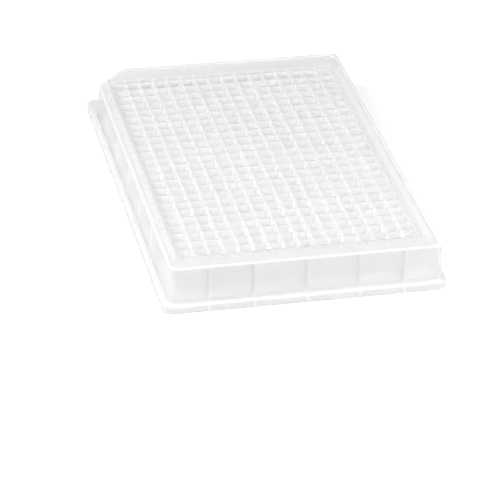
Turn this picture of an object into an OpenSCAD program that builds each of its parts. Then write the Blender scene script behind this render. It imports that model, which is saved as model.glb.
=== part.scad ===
// 384-well microplate: one moulding of natural polypropylene. Row letters run along the
// -X end and column numbers along the +Y side, and the corner at +X, +Y is cut.

/* [Well field] */
// Wells along the long side
columns = 24; // [4:1:24]
// Wells along the short side
rows = 16; // [4:1:16]
// Centre-to-centre distance of neighbouring wells
pitch = 4.5; // [3:0.05:4.6]
// Thickness of the wall between two wells at their mouths
web_mouth = 0.8; // [0.5:0.05:1.2]
// Thickness of the wall between two wells at their floors
web_floor = 1.2; // [0.8:0.05:1.6]
// Thickness of the well floors
floor_thickness = 0.8; // [0.5:0.05:1.5]
// Height of the well floors' undersides above the standing face
floor_clearance = 2; // [1.9:0.1:4]
// Width of the grooves that part the well floors underneath
groove_width = 0.6; // [0.3:0.05:0.9]
// Depth of those grooves
groove_depth = 0.5; // [0.2:0.05:0.7]

/* [Frame] */
// Length of the flange
plate_length = 127.76; // [120:0.01:200]
// Width of the flange
plate_width = 85.48; // [80:0.01:160]
// Height from the standing face to the top rim
plate_height = 14; // [10:0.1:40]
// Thickness of the skirt, all round
wall = 1.2; // [0.8:0.05:1.6]
// Thickness of the deck between the skirt and the wells
deck_thickness = 1.2; // [0.8:0.05:2]
// Thickness of the wall round the outermost wells
block_wall = 1.2; // [1:0.05:1.6]
// Rounding of the skirt's upright corners
skirt_corner = 2; // [1.5:0.1:4]
// How far the skirt leans in between the flange and the top rim
skirt_lean = 0.4; // [0.1:0.05:0.8]
// Leg of the cut corner, at the top rim
corner_cut = 10; // [6:0.5:11]
// Extra thickness of the skirt behind the cut corner
corner_backing = 1; // [0.5:0.1:2]

/* [Rim and deck] */
// Height of the rim above the deck
rim_height = 0.6; // [0.2:0.05:1.5]
// Width of the rim
rim_width = 1.25; // [0.8:0.05:1.4]
// Depth of the well mouths below the deck
field_drop = 0.75; // [0.2:0.05:1]
// Flat land between the outermost well mouths and the edge of the deck
field_land = 0.8; // [0.5:0.05:0.9]
// Rounding of the deck's inner corners
field_corner = 0.8; // [0.3:0.1:1.5]

/* [Flange and stacking] */
// Height of the flange
flange_height = 2.41; // [2.1:0.01:7]
// Corner radius of the flange
flange_corner = 3.18; // [2.2:0.01:4.8]
// Width of the ledge on top of the flange
ledge = 1.5; // [1.2:0.05:2]
// Depth to which the rim of the plate below is taken in
nest_depth = 1.3; // [0.5:0.05:1.7]
// Play round the rim of the plate below, on each side
nest_play = 0.25; // [0.1:0.05:0.5]

/* [Ribs] */
// Thickness of the ribs between the skirt and the well block
rib_thickness = 1; // [0.6:0.1:1.5]
// Ribs at the ends: distances from the middle, counted in wells
end_ribs = [0, 3.5, 6.5];
// Ribs at the sides: distances from the middle, counted in wells
side_ribs = [0, 4, 8];

/* [Hidden] */
field_x = columns * pitch / 2;
field_y = rows * pitch / 2;
deck_z = plate_height - rim_height;
field_z = deck_z - field_drop;
well_floor_z = floor_clearance + floor_thickness;
deck_underside = deck_z - deck_thickness;
rim_inset = ledge + skirt_lean;
land_edge = field_land - web_mouth / 2;
block_edge = block_wall - web_mouth / 2;
shorten = 2 - sqrt(2); // what a 45 degree cut's leg loses for each unit of inset
seam = 0.05; // overlap of solids that join
$fn = 48;

// How far the skirt's outer face stands in from the flange edge at height z
function skirt_inset(z) = ledge + skirt_lean * (z - flange_height) / (plate_height - flange_height);

// Rectangle with round corners
module rounded(x, y, radius) {
    square([2 * x, 2 * (y - radius)], center = true);
    square([2 * (x - radius), 2 * y], center = true);
    for (i = [-1, 1], j = [-1, 1])
        translate([i * (x - radius), j * (y - radius)]) circle(radius);
}

// Outline of the plate, set in from the flange edge
module outline(inset, radius) {
    rounded(plate_length / 2 - inset, plate_width / 2 - inset, radius);
}

// The same with its +X, +Y corner cut off at 45 degrees
module cut_outline(inset, radius, leg) {
    x = plate_length / 2 - inset;
    y = plate_width / 2 - inset;
    offset(r = radius)
        offset(delta = -radius)
            polygon([[-x, -y], [x, -y], [x, y - leg], [x - leg, y], [-x, y]]);
}

// Solid that leans from one inset at z0 to another at z1; children() is the outline at z0
module leaning(z0, z1, inset0, inset1) {
    translate([0, 0, z0])
        linear_extrude(z1 - z0, slices = 1,
                       scale = [(plate_length - 2 * inset1) / (plate_length - 2 * inset0),
                                (plate_width - 2 * inset1) / (plate_width - 2 * inset0)])
            children();
}

module flange() {
    linear_extrude(flange_height) outline(0, flange_corner);
}

// Outside of the skirt, filled up to the top rim
module skirt() {
    foot_z = flange_height / 2;
    foot_inset = skirt_inset(foot_z);
    leaning(foot_z, plate_height, foot_inset, rim_inset)
        cut_outline(foot_inset, skirt_corner, corner_cut + (rim_inset - foot_inset) * shorten);
}

// Recess in the standing face that takes in the rim of the plate below
module nest() {
    translate([0, 0, -1])
        linear_extrude(nest_depth + 1) outline(rim_inset - nest_play, skirt_corner);
}

// Space between the skirt and the well block
module hollow() {
    foot_z = nest_depth - seam;
    foot_inset = skirt_inset(foot_z) + wall;
    leg = corner_cut + (rim_inset - foot_inset) * shorten + corner_backing * sqrt(2);
    leaning(foot_z, deck_underside, foot_inset, skirt_inset(deck_underside) + wall)
        cut_outline(foot_inset, skirt_corner - wall / 2, leg);
}

// Step from the top rim down to the deck
module deck_step() {
    translate([0, 0, deck_z])
        linear_extrude(rim_height + 1)
            cut_outline(rim_inset + rim_width, skirt_corner - wall / 2,
                        corner_cut - rim_width * shorten);
}

// Solid block that holds the wells
module block() {
    translate([0, 0, floor_clearance])
        linear_extrude(deck_z - floor_clearance - seam)
            rounded(field_x + block_edge, field_y + block_edge, field_corner);
}

// Shallow recess of the deck, with the well mouths in its floor
module field_step() {
    translate([0, 0, field_z])
        linear_extrude(field_drop + 1)
            rounded(field_x + land_edge, field_y + land_edge, field_corner);
}

// Bar along Y with the side profile of a well, drawn on past the mouth up to the deck
module well_bar(length) {
    depth = field_z - well_floor_z;
    slope = (web_floor - web_mouth) / 2 / depth;
    base = (pitch - web_floor) / 2;
    top = base + slope * (depth + field_drop);
    rotate([90, 0, 0])
        linear_extrude(length, center = true)
            polygon([[-base, 0], [base, 0], [top, depth + field_drop], [-top, depth + field_drop]]);
}

// Square, tapering wells: where the bars of the columns cross those of the rows
module wells() {
    intersection() {
        for (i = [0.5 : columns])
            translate([i * pitch - field_x, 0, well_floor_z]) well_bar(2 * field_y);
        for (j = [0.5 : rows])
            translate([0, j * pitch - field_y, well_floor_z]) rotate(90) well_bar(2 * field_x);
    }
}

// Grooves under the block, one below each wall between wells
module grooves() {
    x = field_x + block_wall;
    y = field_y + block_wall;
    for (i = [1 : columns - 1])
        translate([i * pitch - field_x - groove_width / 2, -y, floor_clearance - 1])
            cube([groove_width, 2 * y, groove_depth + 1]);
    for (j = [1 : rows - 1])
        translate([-x, j * pitch - field_y - groove_width / 2, floor_clearance - 1])
            cube([2 * x, groove_width, groove_depth + 1]);
}

// A rib that starts at the well block and reaches the inside of the skirt
module rib(start, reach) {
    translate([start - seam, -rib_thickness / 2, floor_clearance])
        cube([reach - start + 2 * seam, rib_thickness, deck_underside - floor_clearance + seam]);
}

module ribs() {
    inside = skirt_inset(floor_clearance) + wall;
    for (turn = [0, 180], place = end_ribs, way = place > 0 ? [-1, 1] : [1])
        rotate(turn)
            translate([0, way * place * pitch, 0])
                rib(field_x + block_edge, plate_length / 2 - inside);
    for (turn = [90, 270], place = side_ribs, way = place > 0 ? [-1, 1] : [1])
        rotate(turn)
            translate([0, way * place * pitch, 0])
                rib(field_y + block_edge, plate_width / 2 - inside);
}

module well_plate() {
    color([0.93, 0.94, 0.96])
        difference() {
            union() {
                difference() {
                    union() {
                        flange();
                        skirt();
                    }
                    nest();
                    hollow();
                    deck_step();
                }
                difference() {
                    block();
                    grooves();
                }
                ribs();
            }
            field_step();
            wells();
        }
}

well_plate();
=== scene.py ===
import math

import bpy
import bmesh
from mathutils import Matrix, Vector


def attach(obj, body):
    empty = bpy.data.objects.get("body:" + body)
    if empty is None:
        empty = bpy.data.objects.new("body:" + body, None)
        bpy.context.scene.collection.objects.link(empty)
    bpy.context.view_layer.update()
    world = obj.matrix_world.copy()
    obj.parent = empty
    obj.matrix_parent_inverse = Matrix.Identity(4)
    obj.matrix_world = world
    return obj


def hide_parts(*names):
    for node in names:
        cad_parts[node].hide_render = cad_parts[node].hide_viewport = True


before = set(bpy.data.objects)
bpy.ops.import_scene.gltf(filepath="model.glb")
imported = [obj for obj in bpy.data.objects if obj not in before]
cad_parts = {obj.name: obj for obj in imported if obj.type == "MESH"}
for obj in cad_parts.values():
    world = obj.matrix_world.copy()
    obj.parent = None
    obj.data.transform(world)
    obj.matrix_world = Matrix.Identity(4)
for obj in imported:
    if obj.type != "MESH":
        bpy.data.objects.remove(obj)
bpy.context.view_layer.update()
mm = 0.001
plateName = "well_plate"
tiny = 1e-6  # places closer than this count as the same
smoothAngle = 32  # degrees
lightPaths = {"max_bounces": 48, "diffuse_bounces": 32, "transparent_max_bounces": 32}


def clearSelection():
    if bpy.context.object and bpy.context.object.mode != "OBJECT":
        bpy.ops.object.mode_set(mode="OBJECT")
    bpy.ops.object.select_all(action="DESELECT")


def takeOnly(thing):
    clearSelection()
    thing.select_set(True)
    bpy.context.view_layer.objects.active = thing


def newest(name):
    thing = bpy.context.object
    thing.name = name
    thing.data.name = name
    return thing


def settle(thing):  # place, turn and size go into the mesh
    takeOnly(thing)
    bpy.ops.object.transform_apply(location=True, rotation=True, scale=True)


def pick(thing, kind, test):
    # in edit mode: selects the vertices, edges or faces that pass the test
    bpy.ops.mesh.select_mode(type=kind)
    bpy.ops.mesh.select_all(action="DESELECT")
    net = bmesh.from_edit_mesh(thing.data)
    parts = {"VERT": net.verts, "EDGE": net.edges, "FACE": net.faces}[kind]
    for part in parts:
        if test(part):
            part.select_set(True)
    net.select_flush_mode()
    bmesh.update_edit_mesh(thing.data)


def edit(thing, kind="FACE"):
    takeOnly(thing)
    bpy.ops.object.mode_set(mode="EDIT")
    bpy.ops.mesh.select_mode(type=kind)


def done():
    bpy.ops.object.mode_set(mode="OBJECT")


def carve(body, tool, how):  # union, difference or intersection, and the tool is used up
    takeOnly(body)
    step = body.modifiers.new("carve", "BOOLEAN")
    step.operation = how
    step.solver = "MANIFOLD"
    step.object = tool
    bpy.ops.object.modifier_apply(modifier=step.name)
    mesh = tool.data
    bpy.data.objects.remove(tool)
    bpy.data.meshes.remove(mesh)


def cleanSeams(thing):  # slivers and needless corners that the unions leave
    edit(thing, "VERT")
    bpy.ops.mesh.select_all(action="SELECT")
    bpy.ops.mesh.remove_doubles(threshold=tiny)
    pick(thing, "VERT", lambda v: len(v.link_edges) == 2)
    bpy.ops.mesh.dissolve_verts()
    done()


def profilePlate(name, halfX, halfY, corner, stations, leg=0.0, steps=7):
    # a plate that is drawn up through stations (height, inset) from a rectangle with round
    # corners; leg cuts the corner at +X, +Y
    firstZ, firstInset = stations[0]
    x, y = halfX - firstInset, halfY - firstInset
    clearSelection()
    bpy.ops.mesh.primitive_plane_add(size=1, location=(0, 0, firstZ))
    plate = newest(name)
    plate.scale = (2 * x, 2 * y, 1)
    settle(plate)
    edit(plate)
    if leg:
        bpy.ops.mesh.select_all(action="SELECT")
        bpy.ops.mesh.bisect(plane_co=(x - leg, y, firstZ), plane_no=(1, 1, 0), clear_outer=True)
        pick(plate, "VERT", lambda v: v.co.x + v.co.y > x + y - leg - tiny)
        bpy.ops.mesh.bevel(offset=0.45 * corner, segments=3, affect="VERTICES")
        pick(plate, "VERT", lambda v: abs(v.co.x) > x - tiny and abs(v.co.y) > y - tiny)
    else:
        bpy.ops.mesh.select_all(action="SELECT")
        bpy.ops.mesh.select_mode(type="VERT")
    bpy.ops.mesh.bevel(offset=corner, segments=steps, affect="VERTICES")
    bpy.ops.mesh.select_mode(type="FACE")
    bpy.ops.mesh.select_all(action="SELECT")
    for (z0, inset0), (z1, inset1) in zip(stations, stations[1:]):
        bpy.ops.mesh.extrude_region_move(TRANSFORM_OT_translate={"value": (0, 0, z1 - z0)})
        bpy.ops.transform.resize(value=((halfX - inset1) / (halfX - inset0),
                                        (halfY - inset1) / (halfY - inset0), 1),
                                 center_override=(0, 0, z1))
    bpy.ops.mesh.select_all(action="SELECT")
    bpy.ops.mesh.normals_make_consistent(inside=False)
    done()
    return plate


frameSizes = {
    "halfX": 63.88 * mm, "halfY": 42.74 * mm, "height": 14.0 * mm,
    "flangeTop": 2.41 * mm, "flangeCorner": 3.18 * mm, "flangeEdge": 0.22 * mm,
    "ledge": 1.5 * mm, "lean": 0.4 * mm, "skirtCorner": 2.1 * mm, "cornerLeg": 10.0 * mm,
    "rimEdge": 0.3 * mm, "rimWidth": 1.25 * mm, "rimHeight": 0.6 * mm,
    "wall": 1.2 * mm, "deck": 1.2 * mm, "nestDepth": 1.3 * mm, "nestPlay": 0.25 * mm,
    "backing": 1.4 * mm, "innerCorner": 0.6 * mm, "legPlay": 0.2 * mm,
}
fieldSizes = {
    "columns": 24, "rows": 16, "pitch": 4.5 * mm, "mouth": 3.7 * mm, "base": 3.3 * mm,
    "top": 12.65 * mm, "floor": 2.8 * mm, "under": 2.0 * mm, "groove": 0.3 * mm,
    "grooveTop": 2.5 * mm, "round": 0.5 * mm, "lip": 0.15 * mm,
    "land": 0.4 * mm, "side": 0.8 * mm, "corner": 0.8 * mm, "padTaper": 0.96,
}
ribSizes = {  # ends and sides: places in pitches from the middle
    "thickness": 1.0 * mm, "ends": (0, 3.5, 6.5), "sides": (0, 4, 8), "low": 2.0 * mm,
    "intoDeck": 0.3 * mm, "intoBlock": 0.4 * mm, "draft": 0.75,
}


def skirtInset(z):
    f = frameSizes
    return f["ledge"] + f["lean"] * (z - f["flangeTop"]) / (f["height"] - f["flangeTop"])


def makeFrame():
    f, w = frameSizes, fieldSizes
    top, edge = f["height"], f["rimEdge"]
    deckTop = top - f["rimHeight"]
    deckUnder = deckTop - f["deck"]
    e = f["flangeEdge"]
    flange = profilePlate("plateFrame", f["halfX"], f["halfY"], f["flangeCorner"], [
        (0, 0.8 * e), (0.3 * e, 0.2 * e), (e, 0), (f["flangeTop"] - e, 0),
        (f["flangeTop"] - 0.3 * e, 0.3 * e), (f["flangeTop"], e)], steps=9)
    foot = f["flangeTop"]
    skirt = profilePlate("skirt", f["halfX"], f["halfY"], f["skirtCorner"], [
        (foot - 0.9 * mm, f["ledge"] - 0.3 * mm), (foot, f["ledge"] - 0.3 * mm),
        (foot + 0.08 * mm, f["ledge"] - 0.14 * mm), (foot + 0.3 * mm, skirtInset(foot + 0.3 * mm)),
        (top - edge, skirtInset(top - edge)), (top - 0.35 * edge, skirtInset(top) + 0.25 * edge),
        (top - 0.08 * edge, skirtInset(top) + 0.62 * edge), (top, skirtInset(top) + 1.15 * edge)],
        leg=f["cornerLeg"] + f["legPlay"])
    carve(flange, skirt, "UNION")
    nestInset = f["ledge"] + f["lean"] - f["nestPlay"]
    nest = profilePlate("nest", f["halfX"], f["halfY"], f["skirtCorner"], [
        (-1 * mm, nestInset - 0.15 * mm), (0, nestInset - 0.15 * mm), (0.15 * mm, nestInset),
        (f["nestDepth"], nestInset)])
    carve(flange, nest, "DIFFERENCE")
    low = f["nestDepth"] - 0.05 * mm
    hollow = profilePlate("hollow", f["halfX"], f["halfY"], f["skirtCorner"] - f["innerCorner"], [
        (low, skirtInset(low) + f["wall"] - 0.12 * mm),
        (low + 0.05 * mm, skirtInset(low) + f["wall"] - 0.12 * mm),
        (low + 0.2 * mm, skirtInset(low) + f["wall"]),
        (deckUnder - 0.25 * mm, skirtInset(deckUnder) + f["wall"]),
        (deckUnder, skirtInset(deckUnder) + f["wall"] + 0.25 * mm)],
        leg=f["cornerLeg"] + f["legPlay"] - 0.6 * f["wall"] + f["backing"])
    carve(flange, hollow, "DIFFERENCE")
    rimInside = skirtInset(top) + f["rimWidth"]
    step = profilePlate("deckStep", f["halfX"], f["halfY"], f["skirtCorner"] - f["innerCorner"], [
        (deckTop, rimInside + 0.12 * mm), (deckTop + 0.12 * mm, rimInside),
        (top - 0.7 * edge, rimInside), (top - 0.2 * edge, rimInside - 0.25 * edge),
        (top, rimInside - 0.8 * edge), (top + 1 * mm, rimInside - 0.8 * edge)],
        leg=f["cornerLeg"] + f["legPlay"] - 0.6 * f["rimWidth"])
    carve(flange, step, "DIFFERENCE")
    fieldX, fieldY = w["columns"] * w["pitch"] / 2, w["rows"] * w["pitch"] / 2
    opening = profilePlate("opening", fieldX + w["land"], fieldY + w["land"], w["corner"], [
        (deckUnder - 2 * mm, 0), (deckTop - 0.12 * mm, 0), (deckTop - 0.03 * mm, -0.04 * mm),
        (deckTop, -0.12 * mm), (deckTop + 1 * mm, -0.12 * mm)])
    carve(flange, opening, "DIFFERENCE")
    return flange


def ribBars():
    # bars between the well block and the skirt, from the recess up into the deck
    f, w, r = frameSizes, fieldSizes, ribSizes
    top = f["height"] - f["rimHeight"] - f["deck"] + r["intoDeck"]
    fieldX, fieldY = w["columns"] * w["pitch"] / 2, w["rows"] * w["pitch"] / 2
    outer = skirtInset(r["low"]) + 0.8 * f["wall"]
    bars = []
    for along, places, inside, outside in (("X", r["ends"], fieldX, f["halfX"] - outer),
                                           ("Y", r["sides"], fieldY, f["halfY"] - outer)):
        reach, start = outside - inside - r["intoBlock"], inside + r["intoBlock"]
        for place in sorted({s * p for p in places for s in (-1, 1)}):
            for side in (-1, 1):
                middle = side * (start + reach / 2)
                where = (middle, place * w["pitch"]) if along == "X" else (place * w["pitch"], middle)
                clearSelection()
                bpy.ops.mesh.primitive_cube_add(size=1, location=(*where, (top + r["low"]) / 2))
                bar = newest("rib")
                thick = (reach, r["thickness"]) if along == "X" else (r["thickness"], reach)
                bar.scale = (*thick, top - r["low"])
                settle(bar)
                edit(bar)
                pick(bar, "FACE", lambda face: face.normal.z < -0.5)  # draft: thinner at the foot
                squeeze = (1, r["draft"], 1) if along == "X" else (r["draft"], 1, 1)
                bpy.ops.transform.resize(value=squeeze, center_override=(*where, r["low"]))
                done()
                bars.append(bar)
    return bars


def makeWell():
    w = fieldSizes
    p = w["pitch"]
    inside = 0.49 * p  # just short of the cell's own sides
    tall, broad = 5 * mm, 30 * mm * mm  # less than an upright edge and than one of those sides
    clearSelection()
    bpy.ops.mesh.primitive_cube_add(size=1, location=(0, 0, (w["top"] + w["grooveTop"]) / 2))
    cell = newest("wellBlock")
    cell.scale = (p, p, w["top"] - w["grooveTop"])
    settle(cell)
    edit(cell)
    pick(cell, "FACE", lambda face: face.normal.z > 0.5)
    bpy.ops.mesh.inset(thickness=(p - w["mouth"]) / 2)
    bpy.ops.mesh.extrude_region_move(TRANSFORM_OT_translate={"value": (0, 0, w["floor"] - w["top"])})
    k = w["base"] / w["mouth"]
    bpy.ops.transform.resize(value=(k, k, 1), center_override=(0, 0, w["floor"]))
    pick(cell, "EDGE", lambda e: abs(e.verts[0].co.z - e.verts[1].co.z) > tall
         and max(abs(v.co.x) for v in e.verts) < inside)
    bpy.ops.mesh.bevel(offset=w["round"], segments=3, affect="EDGES")
    pick(cell, "EDGE", lambda e: all(abs(v.co.z - w["top"]) < tiny and max(abs(v.co.x), abs(v.co.y))
                                     < w["mouth"] / 2 + tiny for v in e.verts)
         and any(f.normal.z < 0.9 for f in e.link_faces))
    bpy.ops.mesh.bevel(offset=w["lip"], segments=1, affect="EDGES")
    pick(cell, "FACE", lambda face: face.normal.z < -0.5)
    bpy.ops.mesh.inset(thickness=w["groove"])
    bpy.ops.mesh.extrude_region_move(
        TRANSFORM_OT_translate={"value": (0, 0, w["under"] - w["grooveTop"])})
    bpy.ops.transform.resize(value=(w["padTaper"], w["padTaper"], 1), center_override=(0, 0, w["under"]))
    pick(cell, "FACE", lambda face: abs(face.normal.z) < 0.1 and face.calc_area() > broad
         and max(abs(face.calc_center_median().x), abs(face.calc_center_median().y)) > inside)
    bpy.ops.mesh.delete(type="ONLY_FACE")
    done()
    return cell


def makeField():
    w = fieldSizes
    p, n, m = w["pitch"], w["columns"], w["rows"]
    block = makeWell()
    edit(block)
    bpy.ops.mesh.select_all(action="SELECT")
    bpy.ops.transform.translate(value=(-(n - 1) * p / 2, -(m - 1) * p / 2, 0))
    done()
    for count, offset in ((n, (p, 0, 0)), (m, (0, p, 0))):
        rank = block.modifiers.new("rank", "ARRAY")
        rank.count = count
        rank.use_relative_offset = False
        rank.use_constant_offset = True
        rank.constant_offset_displace = offset
        rank.use_merge_vertices = True
        rank.merge_threshold = 0.01 * mm
        takeOnly(block)
        bpy.ops.object.modifier_apply(modifier=rank.name)
    fieldX, fieldY = n * p / 2, m * p / 2
    side = w["side"]
    for z in (w["top"], w["grooveTop"]):  # the margin round the outermost wells
        edit(block)
        pick(block, "EDGE", lambda e: e.is_boundary and all(abs(v.co.z - z) < tiny for v in e.verts))
        bpy.ops.mesh.extrude_edges_move(TRANSFORM_OT_translate={"value": (0, 0, 0)})
        bpy.ops.transform.resize(value=((fieldX + side) / fieldX, (fieldY + side) / fieldY, 1),
                                 center_override=(0, 0, z))
        done()
    edit(block)
    pick(block, "EDGE", lambda e: e.is_boundary)
    bpy.ops.mesh.bridge_edge_loops()
    bpy.ops.mesh.select_all(action="SELECT")
    bpy.ops.mesh.delete_loose()
    bpy.ops.mesh.select_all(action="SELECT")
    bpy.ops.mesh.normals_make_consistent(inside=False)
    done()
    return block


markSizes = {
    "height": 2.2 * mm, "numberHeight": 1.55 * mm, "raise": 0.2 * mm, "sink": 0.05 * mm,
    "letterX": -56.5 * mm, "numberY": 38.2 * mm, "capital": 0.72,
}


def stamp(words, size, x, y, turn):
    m = markSizes
    clearSelection()
    bpy.ops.object.text_add(location=(0, 0, 0))
    mark = bpy.context.object
    mark.data.body = words
    mark.data.size = size / markSizes["capital"]  # capitals are this share of the type size
    mark.data.align_x = "CENTER"
    mark.data.align_y = "CENTER"
    mark.data.resolution_u = 3
    mark.data.extrude = (m["raise"] + m["sink"]) / 2
    takeOnly(mark)
    bpy.ops.object.convert(target="MESH")
    mark = newest("mark")
    deckTop = frameSizes["height"] - frameSizes["rimHeight"]
    mark.rotation_euler = (0, 0, turn)
    mark.location = (x, y, deckTop + (m["raise"] - m["sink"]) / 2)
    settle(mark)
    return mark


def makeMarks():
    m, w = markSizes, fieldSizes
    marks = []
    for row in range(w["rows"]):
        y = (w["rows"] / 2 - 0.5 - row) * w["pitch"]
        marks.append(stamp("ABCDEFGHIJKLMNOP"[row], m["height"], m["letterX"], y, -math.pi / 2))
    for column in range(w["columns"]):
        x = (column + 0.5 - w["columns"] / 2) * w["pitch"]
        marks.append(stamp(str(column + 1), m["numberHeight"], x, m["numberY"], -math.pi / 2))
    clearSelection()
    for mark in marks:
        mark.select_set(True)
    bpy.context.view_layer.objects.active = marks[0]
    bpy.ops.object.join()
    marks = newest("deckMarks")
    edit(marks, "VERT")
    bpy.ops.mesh.select_all(action="SELECT")
    bpy.ops.mesh.remove_doubles(threshold=tiny)
    bpy.ops.mesh.normals_make_consistent(inside=False)
    done()
    return marks


class Link:  # a node socket that takes part in plain arithmetic
    def __init__(self, shop, socket):
        self.shop, self.socket = shop, socket

    def maths(self, how, other, swap=False):
        pair = (other, self) if swap else (self, other)
        return self.shop.node("ShaderNodeMath", {"operation": how}, {0: pair[0], 1: pair[1]})[0]

    def __add__(self, other): return self.maths("ADD", other)
    def __radd__(self, other): return self.maths("ADD", other, True)
    def __sub__(self, other): return self.maths("SUBTRACT", other)
    def __mul__(self, other): return self.maths("MULTIPLY", other)
    def __rmul__(self, other): return self.maths("MULTIPLY", other, True)


class Workshop:  # builds one material's nodes
    def __init__(self, name):
        self.material = bpy.data.materials.new(name)
        self.material.use_nodes = True
        self.tree = self.material.node_tree
        self.tree.nodes.clear()

    def node(self, kind, settings=None, inputs=None):
        made = self.tree.nodes.new(kind)
        for key, value in (settings or {}).items():
            setattr(made, key, value)
        for key, value in (inputs or {}).items():
            if isinstance(value, Link):
                self.tree.links.new(value.socket, made.inputs[key])
            else:
                made.inputs[key].default_value = value
        return [Link(self, socket) for socket in made.outputs if socket.enabled]

    def ramp(self, value, start, end):  # 0 at start, 1 at end
        return self.node("ShaderNodeMapRange", inputs={"Value": value, 1: start, 2: end})[0]


plasticLook = {
    "colour": (0.99, 0.9905, 1, 1), "clouded": (0.981, 0.982, 0.996, 1),
    "roughness": 0.14, "ior": 1.49, "depthFrame": 1.2 * mm, "depthWells": 4 * mm,
    "cloudScale": 70.0, "grainScale": 2600.0, "cloudRough": 0.14, "grainRough": 0.1,
    "bump": 0.25, "bumpHeight": 0.00004,
    # painted shade: the web share lets the tops of the webs that part the columns show through, so they
    # render darker than the webs along X
    # partly painted shade: the deck's sides let a little through, its translucency, and its ends more,
    # which darkens the front and back strips
    "sheerWells": 0.0, "paintedShadeWebs": 0.08, "sheerSides": 0.03, "sheerEndsPlusShade": 0.15,
    "sheerSkirt": 0.44, "sheerRib": 0.35,
}
# the three edges are (x, y) from the middle; the rest say where a share starts and stops changing
plasticMasks = {
    "fieldEdge": (55.2 * mm, 37.2 * mm), "wallEdge": (60.7 * mm, 39.5 * mm),
    "ribEdge": (61.5 * mm, 40.3 * mm), "ribWidth": (0.65 * mm, 0.3 * mm),
    # painted shade: the deck's ends mark the front and back strips that are darkened
    "paintedWebShadeFade": (0.35 * mm, 0.5 * mm), "paintedShadeDeckEnds": (52 * mm, 57 * mm),
    "skirtFoot": (2.6 * mm, 3.4 * mm), "skirtTop": (13.95 * mm, 13.5 * mm),
    # painted highlight on the raised marks and the rim top, and painted light on the ledge: there
    # nothing shows through, so they render bright
    "flangeFace": (2.35 * mm, 2.2 * mm), "paintedBrightLedge": (2.5 * mm, 8 * mm),
    # painted shade: the web heights, with the web width above, mark the darkened tops of the webs that
    # part the columns
    "paintedBrightMarks": (13.5 * mm, 13.42 * mm), "paintedWebShadeHeights": (12.1 * mm, 12.6 * mm),
}


def makePlastic():
    look, masks = plasticLook, plasticMasks
    shop = Workshop("naturalPolypropylene")
    place = shop.node("ShaderNodeTexCoord")[3]
    x, y, z = shop.node("ShaderNodeSeparateXYZ", inputs={0: place})
    cloud = shop.node("ShaderNodeTexNoise", inputs={
        "Vector": place, "Scale": look["cloudScale"], "Detail": 3.0})[0]
    grain = shop.node("ShaderNodeTexNoise", inputs={
        "Vector": place, "Scale": look["grainScale"], "Detail": 2.0})[0]
    colour = shop.node("ShaderNodeMix", {"data_type": "RGBA"}, {
        0: cloud, 6: look["colour"], 7: look["clouded"]})[0]
    rough = look["roughness"] + look["cloudRough"] * (cloud - 0.5) + look["grainRough"] * (grain - 0.5)
    bump = shop.node("ShaderNodeBump", inputs={
        "Strength": look["bump"], "Distance": look["bumpHeight"], "Height": grain})[0]
    milks = [shop.node("ShaderNodeBsdfPrincipled", inputs={
        "Base Color": colour, "Roughness": rough, "Normal": bump, "IOR": look["ior"],
        "Subsurface Weight": 1.0, "Subsurface Radius": (1.0, 1.0, 1.0),
        "Subsurface Scale": look[depth]})[0] for depth in ("depthWells", "depthFrame")]
    clear = shop.node("ShaderNodeBsdfTransparent", inputs={"Color": (1, 1, 1, 1)})[0]
    # the skirt and the flange's face let most through, the deck's ends some, the rest next to nothing;
    # that the deck's ends let more through than its sides is painted shade, darkening its front and back
    # strips
    endwise, sidewise = x.maths("ABSOLUTE", 0.0), y.maths("ABSOLUTE", 0.0)
    outside, atWall = [
        (endwise - endLimit).maths("MAXIMUM", sidewise - sideLimit).maths("GREATER_THAN", 0.0)
        for endLimit, sideLimit in (masks["fieldEdge"], masks["wallEdge"])]
    walls = shop.ramp(z, *masks["skirtFoot"]) * shop.ramp(z, *masks["skirtTop"]) * atWall
    foot = shop.ramp(z, *masks["flangeFace"])
    ribs = 0.0
    endFaces, sideFaces = masks["ribEdge"]
    for along, across, reach, places in ((sidewise, endwise, endFaces, ribSizes["ends"]),
                                         (endwise, sidewise, sideFaces, ribSizes["sides"])):
        faces = across.maths("GREATER_THAN", reach)
        for spot in places:
            near = (along - spot * fieldSizes["pitch"]).maths("ABSOLUTE", 0.0)
            ribs = (shop.ramp(near, *masks["ribWidth"]) * faces).maths("MAXIMUM", ribs)
    skirt = look["sheerSkirt"] + (look["sheerRib"] - look["sheerSkirt"]) * ribs
    # partly painted shade: the deck's translucency, raised at its front and back strips so they render
    # darker than its sides
    ends = shop.ramp(endwise, *masks["paintedShadeDeckEnds"])
    deck = look["sheerSides"] + (look["sheerEndsPlusShade"] - look["sheerSides"]) * ends
    # painted highlight and light: the raised marks, the rim top, the ledge and the lowest inner faces
    # let nothing through, so they render brighter
    deck = deck * shop.ramp(z, *masks["paintedBrightMarks"]) * shop.ramp(z, *masks["paintedBrightLedge"])
    shell = deck + (skirt - deck) * walls.maths("MAXIMUM", foot)
    # painted shade: the webs that part the columns let more through at their tops and so read darker,
    # standing in for side light that leaves them dimmer than the webs along X
    paintedWebShade = shop.ramp(y.maths("PINGPONG", fieldSizes["pitch"] / 2), *masks["paintedWebShadeFade"])
    paintedWebShade = paintedWebShade * shop.ramp(z, *masks["paintedWebShadeHeights"])  # painted shade on the tops of the webs that part the columns
    field = look["sheerWells"] + (look["paintedShadeWebs"] - look["sheerWells"]) * paintedWebShade
    sheer = field + (shell - field) * outside
    milk = shop.node("ShaderNodeMixShader", inputs={0: outside, 1: milks[0], 2: milks[1]})[0]
    both = shop.node("ShaderNodeMixShader", inputs={0: sheer, 1: milk, 2: clear})[0]
    shop.node("ShaderNodeOutputMaterial", inputs={"Surface": both})
    return shop.material


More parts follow.
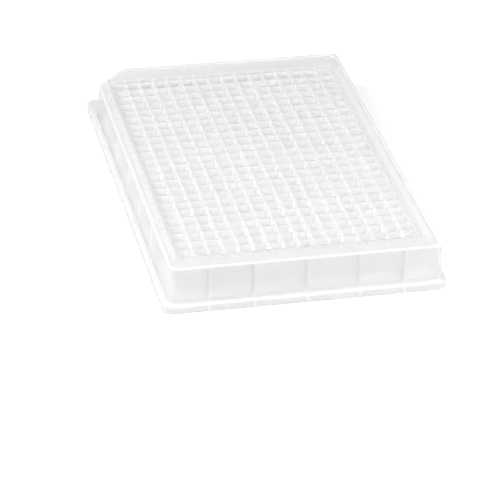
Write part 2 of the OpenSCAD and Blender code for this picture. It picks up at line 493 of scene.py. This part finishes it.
roomLook = {
    "floor": (0.93, 0.93, 0.93, 1), "lift": 0.42, "nearFloor": 0.13, "farFloor": 0.3, "light": 0.325,
}
lamps = {  # place, what it points at, size, power
    "frontLamp": ((-0.52, -0.05, 0.2), (-0.03, 0, 0.01), 0.25, 0.56),
    "rightLamp": ((-0.17, -0.2, 0.2), (-0.06, -0.04, 0.01), 0.12, 0.31),
    "leftLamp": ((-0.05, 0.34, 0.4), (-0.03, 0, 0.01), 0.16, 1.5),
}


def makeRoom():
    clearSelection()
    bpy.ops.mesh.primitive_plane_add(size=3.0, location=(0, 0, 0))
    floor = newest("floor")
    shop = Workshop("paleFloor")
    path = shop.node("ShaderNodeLightPath")
    matt = shop.node("ShaderNodeBsdfDiffuse", inputs={"Color": roomLook["floor"]})[0]
    seen = path[0].maths("MAXIMUM", path[3]).maths("MAXIMUM", path[6])  # camera, glossy, transmission
    glow = shop.node("ShaderNodeEmission", inputs={"Strength": roomLook["lift"] * seen})[0]
    near = shop.node("ShaderNodeAddShader", inputs={0: matt, 1: glow})[0]
    place = shop.node("ShaderNodeTexCoord")[3]
    away = shop.node("ShaderNodeVectorMath", {"operation": "LENGTH"}, {0: place})[0]
    far = shop.ramp(away, roomLook["nearFloor"], roomLook["farFloor"]) * seen
    white = shop.node("ShaderNodeEmission")[0]
    both = shop.node("ShaderNodeMixShader", inputs={0: far, 1: near, 2: white})[0]
    shop.node("ShaderNodeOutputMaterial", inputs={"Surface": both})
    floor.data.materials.append(shop.material)
    world = bpy.data.worlds.new("room")
    bpy.context.scene.world = world
    world.use_nodes = True
    tree = world.node_tree
    tree.nodes.clear()
    path = tree.nodes.new("ShaderNodeLightPath")
    seen = tree.nodes.new("ShaderNodeMath")
    seen.operation = "MAXIMUM"
    tree.links.new(path.outputs["Is Camera Ray"], seen.inputs[0])
    tree.links.new(path.outputs["Is Glossy Ray"], seen.inputs[1])
    also = tree.nodes.new("ShaderNodeMath")
    also.operation = "MAXIMUM"
    tree.links.new(seen.outputs[0], also.inputs[0])
    tree.links.new(path.outputs["Is Transmission Ray"], also.inputs[1])
    light = tree.nodes.new("ShaderNodeMapRange")
    light.inputs["To Min"].default_value = roomLook["light"]
    light.inputs["To Max"].default_value = 1.0
    tree.links.new(also.outputs[0], light.inputs["Value"])
    back = tree.nodes.new("ShaderNodeBackground")
    back.inputs["Color"].default_value = (1, 1, 1, 1)
    tree.links.new(light.outputs[0], back.inputs["Strength"])
    out = tree.nodes.new("ShaderNodeOutputWorld")
    tree.links.new(back.outputs[0], out.inputs["Surface"])
    for name, (place, aim, size, power) in lamps.items():
        clearSelection()
        bpy.ops.object.light_add(type="AREA", location=place)
        lamp = bpy.context.object
        lamp.name = name
        lamp.data.size = size
        lamp.data.energy = power
        lamp.rotation_euler = (Vector(aim) - Vector(place)).to_track_quat("-Z", "Y").to_euler()
    return floor


cameraView = {
    "azimuth": -14.4094, "elevation": 31.3686, "roll": 2.5352, "distance": 780.889 * mm,
    "aim": (-52.7214 * mm, 15.1383 * mm, 12.65 * mm), "zoom": 2687.318 / 500 * 36,
}


def makeCamera():
    c = cameraView
    turn, rise, roll = (math.radians(c[k]) for k in ("azimuth", "elevation", "roll"))
    # depth runs along +X and the view's right along -Y
    back = Vector((-math.cos(turn) * math.cos(rise), -math.sin(turn) * math.cos(rise), math.sin(rise)))
    right = Vector((math.sin(turn), -math.cos(turn), 0))
    up = back.cross(right)
    right, up = (math.cos(roll) * right + math.sin(roll) * up,
                 -math.sin(roll) * right + math.cos(roll) * up)
    clearSelection()
    bpy.ops.object.camera_add()
    camera = bpy.context.object
    camera.name = "camera"
    camera.matrix_world = (Matrix.Translation(Vector(c["aim"]) + c["distance"] * back)
                           @ Matrix((right, up, back)).transposed().to_4x4())
    camera.data.sensor_width = 36
    camera.data.lens = c["zoom"]
    camera.data.clip_start = 0.01
    camera.data.clip_end = 20
    bpy.context.scene.camera = camera


plastic = makePlastic()
print("plastic", len(plastic.node_tree.nodes), "nodes")
plate = makeFrame()
print("frame", len(plate.data.polygons), "faces")
for bar in ribBars():
    carve(plate, bar, "UNION")
print("ribs", len(plate.data.polygons), "faces")
block = makeField()
print("wells", len(block.data.polygons), "faces")
carve(plate, block, "UNION")
marks = makeMarks()
print("marks", len(marks.data.polygons), "faces")
carve(plate, marks, "UNION")
cleanSeams(plate)
plate.name = "wellPlate"
plate.data.name = "wellPlate"
takeOnly(plate)
bpy.ops.object.shade_smooth_by_angle(angle=math.radians(smoothAngle))
print("plate", len(plate.data.polygons), "faces")
plate.data.materials.clear()
plate.data.materials.append(plastic)
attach(plate, "root")
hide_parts(plateName)
makeRoom()
print("room", len(lamps), "lamps")
makeCamera()
print("camera", round(bpy.context.scene.camera.data.lens), "mm lens")
bpy.context.scene.view_settings.view_transform = "Standard"
for kind, count in lightPaths.items():
    setattr(bpy.context.scene.cycles, kind, count)
